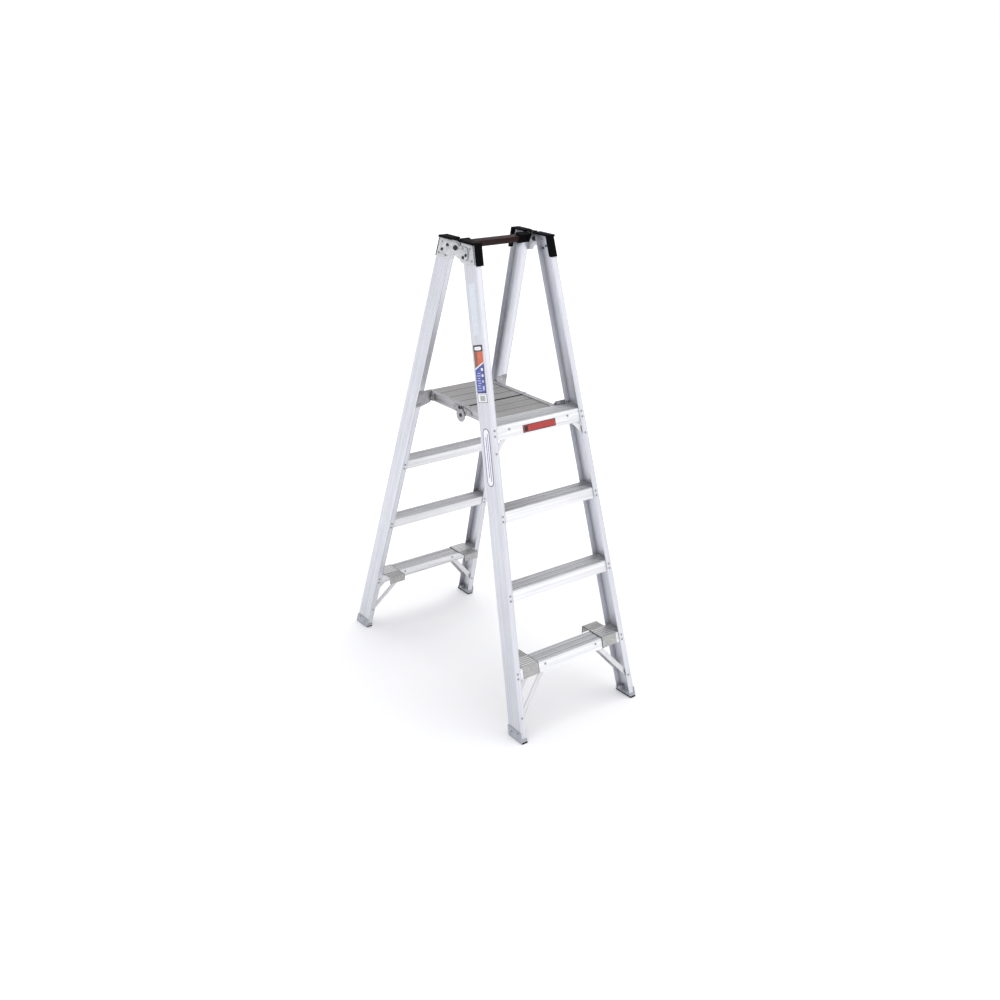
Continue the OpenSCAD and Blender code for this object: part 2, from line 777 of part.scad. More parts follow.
// ribbed plank on two legs with feet, its middle at y
module plank(y, width) {
  length = 2 * (deck_half - 6.2);
  top = deck_height - 3.8;
  edge = width / 2 - 0.2;
  hem = 1.8;
  foot = deck_bottom + 2.6;
  rib_pitch = (width - 12.8) / 7;
  difference() {
    translate([-length / 2, y, 0]) extrude_x(length) {
      translate([-edge, top - 2.2]) square([2 * edge, 2.2]);
      for (leg = [-12, 12]) {
        translate([leg - 1, foot]) square([2, top - foot - 1]);
        translate([leg - 5, foot]) square([10, 2]);
      }
      for (y = [-edge, edge - hem]) translate([y, top - 8]) square([hem, 7]);
      for (i = [0:7])
        translate([-width / 2 + 6.4 + i * rib_pitch - 1.3, top - 0.5]) square([2.6, 1.7]);
    }
    both() top_hole(y);
  }
}
module deck_front_plank_1() color(DECK) plank(front_planks[0], front_plank_width);
module deck_front_plank_2() color(DECK) plank(front_planks[1], front_plank_width);
module deck_front_plank_3() color(DECK) plank(front_planks[2], front_plank_width);
module deck_rear_plank_1() color(DECK) plank(rear_planks[0], rear_plank_width);
module deck_rear_plank_2() color(DECK) plank(rear_planks[1], rear_plank_width);
module deck_rear_plank_3() color(DECK) plank(rear_planks[2], rear_plank_width);
module deck_rear_plank_4() color(DECK) plank(rear_planks[3], rear_plank_width);

module seam_strip() color(BLACK) {
  half_length = deck_half - 22.5;
  translate([-half_length, seam_front, deck_height - 12]) cube([2 * half_length, 3.4, 10]);
}

// hinge ears at the middle of the platform
module front_ear() translate([-front_ear_face, 0, 0]) extrude_x(3) difference() {
  union() {
    translate(mid_axis) circle(r = 17);
    translate([-60, deck_bottom + 15.5]) circle(r = 7.5);
    polygon([
      [10, mid_axis[1] + 13], [-21, deck_bottom + 29], [-61, deck_bottom + 22.9],
      [-59, deck_bottom + 8.1], [-34, deck_bottom + 3], [-6, mid_axis[1] - 15]
    ]);
  }
  translate(mid_axis) circle(r = mid_hole);
  for (point = front_ear_rivets) translate(point) circle(r = rivet_hole);
}
module rear_ear() difference() {
  union() {
    translate([-rear_ear_face, 0, 0]) extrude_x(3) {
      translate(mid_axis) circle(r = 27);
      translate([10, deck_bottom + 4]) square([32, 26]);
      translate([40, deck_bottom + 17]) circle(r = 12);
      translate(stop) circle(r = 8);
    }
    // packing between the ear and the channel
    translate([-deck_half - 3.7, 0, 0]) extrude_x(3.65) {
      translate([22, deck_bottom + 4]) square([20, 26]);
      translate([40, deck_bottom + 17]) circle(r = 11);
    }
  }
  x_hole(mid_axis, mid_hole);
  for (point = rear_ear_rivets) x_hole(point, rivet_hole);
  x_hole(stop, stop_hole);
}
module deck_front_ears() color(ZINC) both() front_ear();
module deck_rear_ears() color(ZINC) both() rear_ear();

module top_rivet(y) translate([-deck_half + 12, y, deck_height]) {
  disc(0, 0.9, 4, 3);
  disc(-6.4, 6.5, 2);
  disc(-7.4, 1.2, 3);
}
module ear_rivet(point, face) on_left(point, face) {
  grip = face - deck_half + channel_sheet;
  disc(0, 1.4, 4.2, 3);
  shank(grip);
  disc(-grip - 1.4, 1.4, 3.4);
}
module deck_rivets(planks, ear_rivets, face) both() {
  for (y = planks) top_rivet(y);
  for (point = ear_rivets) ear_rivet(point, face);
}
module deck_front_rivets()
  color(ZINC) deck_rivets(front_planks, front_ear_rivets, front_ear_face);
module deck_rear_rivets()
  color(ZINC) deck_rivets(rear_planks, rear_ear_rivets, rear_ear_face);

module deck_mid_bolts() color(BLACK) both() {
  on_left(mid_axis, deck_half) {
    disc(6.65, 2.2, 7);
    disc(8.85, 1.2, 7, 4.6);
    disc(-1.8, 9, 3.95);
    disc(-2, 1.9, 4.6);
  }
  on_left(stop, deck_half) {
    disc(6.65, 1.6, 7);
    disc(8.2, 3, 4.6, $fn = 6);
    disc(-6, 13, 3);
    disc(-5.8, 3.2, 4.8, $fn = 6);
  }
}

front_rail_left();
front_rail_right();
front_step_1();
front_step_2();
front_step_3();
front_beam();
front_step_covers();
front_knee_braces();
beam_braces();
front_gusset_left();
front_gusset_right();
front_hinge_plates();
front_caps();
front_shoes();
front_pads();
front_rivets();
front_plate_bolts();
front_bracket_left();
front_bracket_right();
front_pivot_bolts();
hinge_bolts();
labels();
rear_rail_left();
rear_rail_right();
rear_step_1();
rear_step_2();
rear_step_3();
rear_step_covers();
rear_knee_braces();
rear_gusset_left();
rear_gusset_right();
rear_caps();
rear_shoes();
rear_pads();
rear_rivets();
rear_plate_bolts();
rear_bracket_left();
rear_bracket_right();
rear_pivot_bolts();
top_bar();
bar_sockets();
deck_front_channel_left();
deck_front_channel_right();
deck_front_plank_1();
deck_front_plank_2();
deck_front_plank_3();
deck_front_ears();
deck_front_rivets();
seam_strip();
deck_rear_channel_left();
deck_rear_channel_right();
deck_rear_plank_1();
deck_rear_plank_2();
deck_rear_plank_3();
deck_rear_plank_4();
deck_rear_ears();
deck_rear_rivets();
deck_mid_bolts();
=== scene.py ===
"""Looks of a platform step ladder, built around its CAD pieces.

The ladder stands on z = 0 with x across its width. The front frame has its feet at -y
and leans back, the rear frame mirrors it at +y, and the platform lies on top.
"""

import math
from fnmatch import fnmatchcase

import bmesh
import bpy
from mathutils import Matrix, Vector

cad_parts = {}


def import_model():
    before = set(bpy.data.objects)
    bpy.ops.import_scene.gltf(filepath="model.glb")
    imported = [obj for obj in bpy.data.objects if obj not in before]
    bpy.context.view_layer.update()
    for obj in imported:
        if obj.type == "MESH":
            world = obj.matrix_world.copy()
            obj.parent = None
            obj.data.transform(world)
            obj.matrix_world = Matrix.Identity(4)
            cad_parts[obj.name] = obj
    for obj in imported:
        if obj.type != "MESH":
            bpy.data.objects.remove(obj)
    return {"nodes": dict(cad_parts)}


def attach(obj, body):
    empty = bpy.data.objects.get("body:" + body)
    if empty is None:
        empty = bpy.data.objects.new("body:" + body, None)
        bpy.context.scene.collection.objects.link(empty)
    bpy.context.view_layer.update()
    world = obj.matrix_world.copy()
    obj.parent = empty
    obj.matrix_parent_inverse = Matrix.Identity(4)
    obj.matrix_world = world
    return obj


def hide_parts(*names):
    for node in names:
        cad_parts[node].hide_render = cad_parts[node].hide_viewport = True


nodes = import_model()["nodes"]
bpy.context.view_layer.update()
scene = bpy.context.scene

# ------------------------------------------------------------------ dimensions (metres)
MM = 0.001
INCLINE = math.radians(15.45)  # lean of each frame from upright
SPLAY = math.radians(3.39)  # inward lean of the rails
FOOT_Y = 0.569  # feet from the middle, front and rear
FOOT_X = 0.297  # feet from the middle, left and right
APRON_Y = -0.03535  # face of the beam apron, in the front frame

FRONT_PLANK = 0.060667  # plank pitches of the two deck halves
REAR_PLANK = 0.0645
FRONT_PLANK_SHIFT = 0.012
REAR_PLANK_SHIFT = 0.008
DECK_SPLIT_Y = -0.010  # rear planks lie behind this
SEAM_Y = -0.0125
COVER_WAVE = 0.0125  # pitch of the light bands on the cover sheets
WEB_RIB = 0.0076  # pitch of the ribs that show through the labels

FILM_BACK = -0.00006  # film faces, outward from the surface
FILM_LAYER_BACK = -0.00036
FILM_FACE = -0.00040
FILM_STEP = 0.00005

FRONT = Matrix.Translation((0, -FOOT_Y, 0)) @ Matrix.Rotation(-INCLINE, 4, "X")
REAR = Matrix.Diagonal((1, -1, 1, 1)) @ FRONT
LEFT_RAIL = Matrix.Translation((-FOOT_X, 0, 0)) @ Matrix.Rotation(SPLAY, 4, "Y")
RIGHT_RAIL = Matrix.Diagonal((-1, 1, 1, 1)) @ LEFT_RAIL
# turned so that film facing local -x faces the front
APRON = FRONT @ Matrix.Translation((0, APRON_Y, 0)) @ Matrix.Rotation(math.radians(90), 4, "Z")


# ------------------------------------------------------------------ node helpers
class Tree:
    """A material whose nodes feed one Principled shader, in object coordinates."""

    def __init__(self, name):
        self.material = bpy.data.materials.new(name)
        self.material.use_nodes = True
        self.tree = self.material.node_tree
        self.tree.nodes.clear()
        output = self.node("ShaderNodeOutputMaterial")
        self.shader = self.node("ShaderNodeBsdfPrincipled")
        self.tree.links.new(self.shader.outputs[0], output.inputs[0])
        self.coord = self.node("ShaderNodeTexCoord").outputs["Object"]

    def node(self, kind, **props):
        made = self.tree.nodes.new(kind)
        for key, value in props.items():
            setattr(made, key, value)
        return made

    def put(self, socket, value):
        """Links a socket or stores a value, giving colours an alpha of 1."""
        if isinstance(value, bpy.types.NodeSocket):
            self.tree.links.new(value, socket)
        elif hasattr(socket.default_value, "__len__"):
            numbers = list(value)
            if len(socket.default_value) == 4 and len(numbers) == 3:
                numbers.append(1.0)
            socket.default_value = numbers
        else:
            socket.default_value = value

    def set(self, name, value):
        self.put(self.shader.inputs[name], value)

    def math(self, operation, a, b=0.0, c=0.0):
        made = self.node("ShaderNodeMath", operation=operation)
        for socket, value in zip(made.inputs, (a, b, c)):
            self.put(socket, value)
        return made.outputs[0]

    def add(self, a, b):
        return self.math("ADD", a, b)

    def mul(self, a, b):
        return self.math("MULTIPLY", a, b)

    def dot(self, axis):
        """Position along axis."""
        made = self.node("ShaderNodeVectorMath", operation="DOT_PRODUCT")
        self.put(made.inputs[0], self.coord)
        made.inputs[1].default_value = tuple(axis)
        return made.outputs["Value"]

    def vec(self, x, y, z):
        made = self.node("ShaderNodeCombineXYZ")
        for socket, value in zip(made.inputs, (x, y, z)):
            self.put(socket, value)
        return made.outputs[0]

    def stretch(self, axis, across, along, shift=(0, 0, 0)):
        """Coordinates whose third number runs along axis, scaled across and along it."""
        w = Vector(axis).normalized()
        u = Vector((0, 0, 1)).cross(w) if abs(w.z) < 0.9 else Vector((1, 0, 0))
        u = (u - w * u.dot(w)).normalized()
        parts = zip((u, w.cross(u), w), (across, across, along), shift)
        return self.vec(
            *[self.math("MULTIPLY_ADD", self.dot(a), scale, move) for a, scale, move in parts]
        )

    def noise(self, vector, scale=1.0, detail=2.0, rough=0.5, distort=0.0):
        made = self.node("ShaderNodeTexNoise")
        self.put(made.inputs["Vector"], vector)
        made.inputs["Scale"].default_value = scale
        made.inputs["Detail"].default_value = detail
        made.inputs["Roughness"].default_value = rough
        made.inputs["Distortion"].default_value = distort
        return made.outputs["Fac"]

    def voronoi(self, vector, scale, feature="F1"):
        made = self.node("ShaderNodeTexVoronoi", feature=feature)
        self.put(made.inputs["Vector"], vector)
        made.inputs["Scale"].default_value = scale
        return made.outputs

    def cells(self, vector, scale=1.0):
        """Two random values for each cell of a crystal pattern."""
        colour = self.voronoi(vector, scale)["Color"]
        split = self.node("ShaderNodeSeparateColor")
        self.put(split.inputs[0], colour)
        return split.outputs[0], split.outputs[1]

    def ramp(self, value, start, end, low=0.0, high=1.0):
        """low at start, high at end, clamped outside."""
        made = self.node("ShaderNodeMapRange", clamp=True)
        self.put(made.inputs[0], value)
        for i, number in enumerate((start, end, low, high)):
            made.inputs[i + 1].default_value = number
        return made.outputs[0]

    def spread(self, noise, low, high):
        """Spreads the middle of a noise from low to high."""
        return self.ramp(noise, 0.3, 0.7, low, high)

    def mix(self, factor, under, over, mode="MIX"):
        made = self.node("ShaderNodeMix", data_type="RGBA", blend_type=mode)
        self.put(made.inputs["Factor"], factor)
        self.put(made.inputs[6], under)
        self.put(made.inputs[7], over)
        return made.outputs[2]

    def shade(self, base, tone):
        """Lightens or darkens base by tone, where 0 leaves it alone."""
        value = self.add(tone, 1.0)
        return self.mix(1.0, base, self.vec(value, value, value), mode="MULTIPLY")

    def bump(self, height, strength, distance, normal=None):
        made = self.node("ShaderNodeBump")
        self.put(made.inputs["Height"], height)
        made.inputs["Strength"].default_value = strength
        made.inputs["Distance"].default_value = distance
        if normal is not None:
            self.put(made.inputs["Normal"], normal)
        return made.outputs[0]

    def dirt_and_shade(self, reach, closed=0.3):
        """1 in corners and joints, 0 on open surfaces; a mask for dirt and for painted shade."""
        made = self.node("ShaderNodeAmbientOcclusion", samples=4)
        made.inputs["Distance"].default_value = reach
        return self.ramp(made.outputs["AO"], closed, 0.95, low=1.0, high=0.0)


# ------------------------------------------------------------------ material recipes
def extruded(name, axis, base, rough=0.38, wear_and_shade=1.0, lines=1.0, seed=0.0,
             grime_and_shade=0.45, reach=0.018, band=190, streak=1.0, marks=None):
    """Extruded aluminium: die lines along axis, soft stains, handling scratches.

    lines is the relief of the die lines, band the fineness of the broad streaks and
    streak their contrast; the grime setting darkens corners within reach, as grime and painted
    shade; marks adds to the colour.
    """
    t = Tree(name)
    x, y, z = axis
    fine = t.noise(t.stretch(axis, across=1500, along=7, shift=(seed,) * 3), detail=3, rough=0.6)
    broad = t.noise(t.stretch(axis, across=band, along=1.3, shift=(seed + 3, seed, seed)))
    stain = t.noise(t.stretch(axis, across=9, along=5, shift=(seed, seed + 7, seed)),
                    detail=5, rough=0.62, distort=0.4)
    cloud = t.noise(t.stretch(axis, across=30, along=14, shift=(seed + 5, seed, seed)),
                    detail=3, rough=0.55)

    # two sets of crossing scratches, kept to patches
    first = t.noise(t.stretch((x + 0.35, y + 0.2, z), across=900, along=22,
                              shift=(seed, 11, seed)), detail=1, rough=0.4)
    second = t.noise(t.stretch((x - 0.5, y + 0.45, z), across=820, along=30,
                               shift=(seed, 17, seed)), detail=1, rough=0.4)
    scratch = t.math("MAXIMUM", t.ramp(first, 0.72, 0.78), t.ramp(second, 0.73, 0.79))
    patch = t.noise(t.stretch(axis, across=6, along=3, shift=(9, seed, seed)),
                    detail=3, rough=0.6)
    scratch = t.mul(scratch, t.ramp(patch, 0.48, 0.62))
    dirt_and_shade = t.dirt_and_shade(reach, closed=0.35)

    tone = t.add(t.ramp(fine, 0.2, 0.8, low=-0.05 * streak, high=0.05 * streak),
                 t.spread(broad, low=-0.09 * streak, high=0.06 * streak))
    tone = t.add(tone, t.spread(stain, low=-0.035, high=0.03))
    colour = t.shade(base, tone)
    stained = t.mul(t.ramp(stain, 0.56, 0.72), 0.22 * wear_and_shade)
    colour = t.mix(stained, colour, over=(0.62, 0.6138, 0.6014))
    # corners and grooves darkened towards grey, scaled by the wear setting: grime and painted
    # shade
    colour = t.mix(t.mul(dirt_and_shade, grime_and_shade * wear_and_shade), colour, over=(0.34, 0.34, 0.35))
    colour = t.mix(t.mul(scratch, 0.35 * wear_and_shade), colour, over=(0.93, 0.94, 0.96))
    if marks is not None:
        colour = marks(t, colour)
    t.set("Base Color", colour)
    t.set("Metallic", 0.88)

    roughness = t.add(t.ramp(fine, 0.2, 0.8, low=rough - 0.05, high=rough + 0.07),
                      t.spread(cloud, low=-0.04, high=0.06))
    roughness = t.add(roughness, t.mul(dirt_and_shade, 0.12))
    t.set("Roughness", t.math("SUBTRACT", roughness, t.mul(scratch, 0.1)))
    t.set("Anisotropic", 0.2)
    tangent = t.node("ShaderNodeVectorTransform", vector_type="VECTOR",
                     convert_from="OBJECT", convert_to="WORLD")
    tangent.inputs[0].default_value = tuple(axis)
    t.set("Tangent", tangent.outputs[0])

    height = t.add(t.mul(fine, 0.6), t.mul(broad, 1.0))
    height = t.math("SUBTRACT", height, t.mul(scratch, 1.2))
    waves = t.bump(cloud, strength=0.05, distance=0.002)
    t.set("Normal", t.bump(height, strength=0.11 * lines, distance=0.0004, normal=waves))
    return t.material


def deck_marks(t, colour):
    """Painted highlight on the rib crowns, painted shade below them, dark plank joints and the
    black seam between the deck halves.
    """
    y = t.dot((0, 1, 0))
    z = t.dot((0, 0, 1))
    # painted highlight on the rib crowns and painted shade on everything below them
    crown_highlight = t.ramp(z, 1.1713, 1.1722)
    shaded_valleys = t.mix(0.45, colour, over=(0.24, 0.235, 0.23))
    colour = t.mix(crown_highlight, shaded_valleys, over=t.mix(0.3, colour, over=(0.80, 0.79, 0.77)))

    # place within each plank, 0 to 1
    front = t.math("FRACT", t.math("MULTIPLY_ADD", y, -1 / FRONT_PLANK,
                                   -FRONT_PLANK_SHIFT / FRONT_PLANK))
    rear = t.math("FRACT", t.math("MULTIPLY_ADD", y, 1 / REAR_PLANK,
                                  REAR_PLANK_SHIFT / REAR_PLANK))
    is_rear = t.math("GREATER_THAN", y, DECK_SPLIT_Y)
    place = t.add(t.mul(rear, is_rear), t.mul(front, t.math("SUBTRACT", 1.0, is_rear)))
    joint = t.ramp(t.math("ABSOLUTE", t.math("SUBTRACT", place, 0.5)), 0.455, 0.478)
    colour = t.mix(t.mul(joint, 0.8), colour, over=(0.05, 0.05, 0.05))

    seam = t.ramp(t.math("ABSOLUTE", t.add(y, -SEAM_Y)), 0.0062, 0.0050)
    return t.mix(t.mul(seam, 0.97), colour, over=(0.006, 0.006, 0.006))


def plated(name, base, rough=0.34, spangle=1.0, seed=0.0):
    """Plated steel: crystal blotches with contrast spangle, joints and corners darkened as grime
    and painted shade.
    """
    t = Tree(name)
    crystal, crystal_b = t.cells(
        t.stretch((0.2, 0.3, 1), across=420, along=420, shift=(seed,) * 3))
    grain = t.noise(t.coord, scale=1400, detail=3, rough=0.6)
    blotch = t.noise(t.stretch((0, 0, 1), across=60, along=60, shift=(seed, 3, seed)),
                     detail=4, rough=0.6, distort=0.6)
    dirt_and_shade = t.dirt_and_shade(reach=0.014)

    tone = t.add(t.ramp(crystal, 0, 1, low=-0.09 * spangle, high=0.09 * spangle),
                 t.spread(grain, low=-0.04, high=0.04))
    colour = t.shade(base, t.add(tone, t.spread(blotch, low=-0.07, high=0.06)))
    blotched = t.mul(t.ramp(blotch, 0.6, 0.75), 0.35)
    colour = t.mix(blotched, colour, over=(0.62, 0.60, 0.56))
    # joints and corners darkened: grime and painted shade
    colour = t.mix(t.mul(dirt_and_shade, 0.6), colour, over=(0.16, 0.155, 0.15))
    t.set("Base Color", colour)
    t.set("Metallic", 0.9)

    roughness = t.add(t.ramp(crystal_b, 0, 1, low=rough - 0.05, high=rough + 0.1),
                      t.ramp(blotch, 0.4, 0.7, low=-0.02, high=0.1))
    t.set("Roughness", t.add(roughness, t.mul(dirt_and_shade, 0.15)))
    height = t.add(grain, t.mul(blotch, 2.0))
    t.set("Normal", t.bump(height, strength=0.14, distance=0.0004))
    return t.material


def sheet(name):
    """Galvanised sheet: speckled and scuffed, painted near black as shadow but for its far ends in
    x.
    """
    t = Tree(name)
    crystal, crystal_b = t.cells(t.coord, scale=230)
    speck = t.noise(t.coord, scale=1900, detail=2, rough=0.7)
    blotch = t.noise(t.coord, scale=45, detail=5, rough=0.65, distort=0.8)
    scuff = t.ramp(t.noise(t.stretch((1, 0.15, 0), across=700, along=18)), 0.62, 0.7)
    dirt_and_shade = t.dirt_and_shade(reach=0.016)

    tone = t.add(t.ramp(crystal, 0, 1, low=-0.16, high=0.16),
                 t.spread(speck, low=-0.12, high=0.12))
    colour = t.shade((0.42, 0.42, 0.41), t.add(tone, t.spread(blotch, low=-0.1, high=0.1)))
    colour = t.mix(t.mul(scuff, 0.35), colour, over=(0.72, 0.72, 0.71))
    # corners darkened: grime and painted shade
    colour = t.mix(t.mul(dirt_and_shade, 0.55), colour, over=(0.12, 0.115, 0.11))

    # light bands across a strip in y
    y = t.math("ABSOLUTE", t.dot((0, 1, 0)))
    x = t.math("ABSOLUTE", t.dot((1, 0, 0)))
    strip = t.mul(t.ramp(y, 0.4565, 0.458), t.ramp(y, 0.5280, 0.5270))
    wave = t.math("SINE", t.mul(y, 2 * math.pi / COVER_WAVE))
    colour = t.mix(t.mul(strip, t.ramp(wave, -0.2, 0.5)), colour, over=(0.80, 0.80, 0.80))
    # painted shadow: near black where |x| is under 0.166 m, at the covers' inner ends
    inner_end_shadow = t.ramp(x, 0.1672, 0.1658)
    colour = t.mix(t.mul(inner_end_shadow, 0.9), colour, over=(0.03, 0.03, 0.03))
    t.set("Base Color", colour)
    t.set("Metallic", 0.75)
    t.set("Roughness", t.add(t.ramp(crystal_b, 0, 1, low=0.36, high=0.52),
                             t.spread(speck, low=-0.05, high=0.08)))
    height = t.add(speck, t.mul(blotch, 1.5))
    t.set("Normal", t.bump(height, strength=0.25, distance=0.0004))
    return t.material


def moulded(name, base, rough, dust, scuffs, grain=1.0, spec=0.4):
    """Moulded plastic or rubber: pebble grain, scuffs of colour scuffs, dusty corners."""
    t = Tree(name)
    pebble = t.voronoi(t.coord, scale=1300, feature="SMOOTH_F1")["Distance"]
    cloud = t.noise(t.coord, scale=38, detail=4, rough=0.6)
    scuff = t.ramp(t.noise(t.stretch((0.3, 1, 0.2), across=520, along=26)), 0.62, 0.7)
    patch = t.noise(t.coord, scale=14, detail=3, rough=0.6)
    scuff = t.mul(scuff, t.ramp(patch, 0.45, 0.6))
    dirt_and_shade = t.dirt_and_shade(reach=0.012)

    colour = t.shade(base, t.spread(cloud, low=-0.12, high=0.12))
    colour = t.mix(t.mul(scuff, 0.4), colour, over=scuffs)
    colour = t.mix(t.mul(dirt_and_shade, dust), colour, over=(0.30, 0.28, 0.26))
    t.set("Base Color", colour)
    t.set("Roughness", t.add(t.spread(cloud, low=rough - 0.05, high=rough + 0.08),
                             t.mul(scuff, 0.15)))
    t.set("Specular IOR Level", spec)
    waves = t.bump(cloud, strength=0.06, distance=0.002)
    t.set("Normal", t.bump(pebble, strength=0.18 * grain, distance=0.0005, normal=waves))
    return t.material


def painted(name):
    """Dark red paint: orange-peel coat with chips down to bare metal."""
    t = Tree(name)
    peel = t.noise(t.coord, scale=420, detail=3, rough=0.5)
    cloud = t.noise(t.coord, scale=18, detail=4, rough=0.6)
    chip = t.ramp(t.noise(t.coord, scale=150, detail=4, rough=0.7, distort=0.5), 0.735, 0.75)
    colour = t.shade((0.018, 0.004, 0.004), t.spread(cloud, low=-0.15, high=0.18))
    t.set("Base Color", t.mix(chip, colour, over=(0.30, 0.29, 0.29)))
    t.set("Metallic", t.mul(chip, 0.9))
    t.set("Roughness", t.add(t.spread(cloud, low=0.38, high=0.5), t.mul(chip, 0.1)))
    t.set("Coat Weight", 0.03)
    t.set("Coat Roughness", 0.3)
    t.set("Specular IOR Level", 0.16)
    height = t.math("SUBTRACT", peel, t.mul(chip, 3.0))
    t.set("Normal", t.bump(height, strength=0.12, distance=0.0005))
    return t.material


def vinyl(name, base, rib=True, rough=0.34):
    """Printed film: soft sheen, rubbed print and, with rib, the web's ribs showing."""
    t = Tree(name)
    cloud = t.noise(t.coord, scale=60, detail=4, rough=0.6)
    rub = t.noise(t.stretch((0.1, 0.27, 1), across=420, along=12), detail=3, rough=0.6)
    worn = t.mul(t.ramp(rub, 0.6, 0.72), t.ramp(cloud, 0.42, 0.6))
    colour = t.shade(base, t.spread(cloud, low=-0.06, high=0.06))
    t.set("Base Color", t.mix(t.mul(worn, 0.35), colour, over=(0.74, 0.74, 0.76)))
    t.set("Roughness", t.spread(rub, low=rough - 0.06, high=rough + 0.12))
    t.set("Specular IOR Level", 0.45)
    normal = t.bump(t.noise(t.coord, scale=700), strength=0.05, distance=0.0004)
    if rib:
        depth = t.dot(FRONT.to_3x3() @ Vector((0, 1, 0)))
        wave = t.math("SINE", t.mul(depth, 2 * math.pi / WEB_RIB))
        crest = t.ramp(wave, 0.6, 1.0)
        normal = t.bump(crest, strength=0.12, distance=0.0006, normal=normal)
    t.set("Normal", normal)
    return t.material


# ------------------------------------------------------------------ materials
def rail(name, place, seed, wear_and_shade=1.0):
    axis = (place.to_3x3() @ Vector((0, 0, 1))).normalized()
    return extruded(name, tuple(axis), base=(0.69, 0.70, 0.745), seed=seed, streak=1.2, wear_and_shade=wear_and_shade)


X = (1, 0, 0)
Y = (0, 1, 0)
# the right rails get more stains, scratches and painted shade in their channels
RAIL_FL = rail("rail_fl", FRONT @ LEFT_RAIL, seed=1.0)
RAIL_FR = rail("rail_fr", FRONT @ RIGHT_RAIL, seed=21.0, wear_and_shade=1.5)
RAIL_RL = rail("rail_rl", REAR @ LEFT_RAIL, seed=41.0)
RAIL_RR = rail("rail_rr", REAR @ RIGHT_RAIL, seed=61.0, wear_and_shade=1.5)
# steps and planks: strong, short-reach corner darkening, painted shade in the grooves together
# with grime
STEP = extruded("step_extrusion", X, base=(0.82, 0.822, 0.835), rough=0.42, lines=0.8,
                seed=5.0, wear_and_shade=0.9, grime_and_shade=0.9, reach=0.006, band=110, streak=1.3)
BEAM = extruded("beam_extrusion", X, base=(0.78, 0.785, 0.80), seed=15.0)
PLANK = extruded("plank_extrusion", X, base=(0.56, 0.548, 0.535), rough=0.46, lines=1.2,
                 seed=25.0, wear_and_shade=1.1, grime_and_shade=0.8, reach=0.007, band=75, streak=1.8,
                 marks=deck_marks)
# channels: base darker than the planks' and more corner darkening, painted shade for the shade
# inside them
CHANNEL = extruded("channel_extrusion", Y, base=(0.44, 0.44, 0.45), rough=0.4, seed=35.0, wear_and_shade=1.3)
BRACE = extruded("brace_strip", (0.5, 0.2, 0.8), base=(0.72, 0.72, 0.73), seed=45.0)
ZINC = plated("zinc_plate", base=(0.56, 0.57, 0.585), spangle=2.2)
BRACKET = plated("zinc_bracket", base=(0.36, 0.36, 0.375), rough=0.36, seed=9.0)
RIVET = plated("rivet_metal", base=(0.32, 0.32, 0.33), spangle=0.4, seed=4.0)
BLACK_STEEL = plated("black_oxide_steel", base=(0.045, 0.045, 0.05), rough=0.38,
                     spangle=0.6, seed=6.0)
CAP = moulded("cap_plastic", base=(0.003, 0.003, 0.0035), rough=0.6, dust=0.01,
              scuffs=(0.02, 0.02, 0.022), spec=0.03)
SHOE = moulded("shoe_plastic", base=(0.40, 0.42, 0.46), rough=0.5, dust=0.45,
               scuffs=(0.55, 0.56, 0.6))
RUBBER = moulded("pad_rubber", base=(0.004, 0.004, 0.0042), rough=0.7, grain=1.6, dust=0.03,
                 scuffs=(0.03, 0.029, 0.027), spec=0.04)
BAR = painted("bar_paint")
COVER = sheet("cover_sheet")

# material, slot, patterns of piece names; the first match counts
FINISHES = (
    (RAIL_FL, "aluminium", ("front_rail_left",)),
    (RAIL_FR, "aluminium", ("front_rail_right",)),
    (RAIL_RL, "aluminium", ("rear_rail_left",)),
    (RAIL_RR, "aluminium", ("rear_rail_right",)),
    (COVER, "cover_sheet", ("front_step_c*", "rear_step_c*")),
    (STEP, "aluminium", ("front_step*", "rear_step*")),
    (BEAM, "aluminium", ("front_beam",)),
    (BRACE, "aluminium", ("*brace*",)),
    (PLANK, "deck_aluminium", ("*plank*",)),
    (CHANNEL, "deck_aluminium", ("*channel*",)),
    (ZINC, "zinc_steel", ("*gusset*", "*hinge_plates*")),
    (BRACKET, "zinc_steel", ("*bracket*", "*ears*")),
    (CAP, "black_plastic", ("*caps*", "bar_sockets")),
    (SHOE, "shoe_plastic", ("*shoes*",)),
    (RUBBER, "rubber", ("*pads*", "seam_strip")),
    (BAR, "bar_paint", ("top_bar",)),
    (BLACK_STEEL, "black_steel",
     ("front_plate_bolts", "rear_plate_bolts", "hinge_bolts", "deck_mid_bolts")),
    (RIVET, "rivet_steel", ("*rivets*", "*bolts*")),
)

# rounding of the edges for each slot, metres
EDGE = {
    "aluminium": 0.00045,
    "deck_aluminium": 0.0004,
    "zinc_steel": 0.0005,
    "cover_sheet": 0.0004,
    "black_plastic": 0.0008,
    "shoe_plastic": 0.0006,
    "rubber": 0.0005,
    "bar_paint": 0.0012,
    "black_steel": 0.0003,
    "rivet_steel": 0.00025,
}
SHARP_ANGLE = math.radians(32)

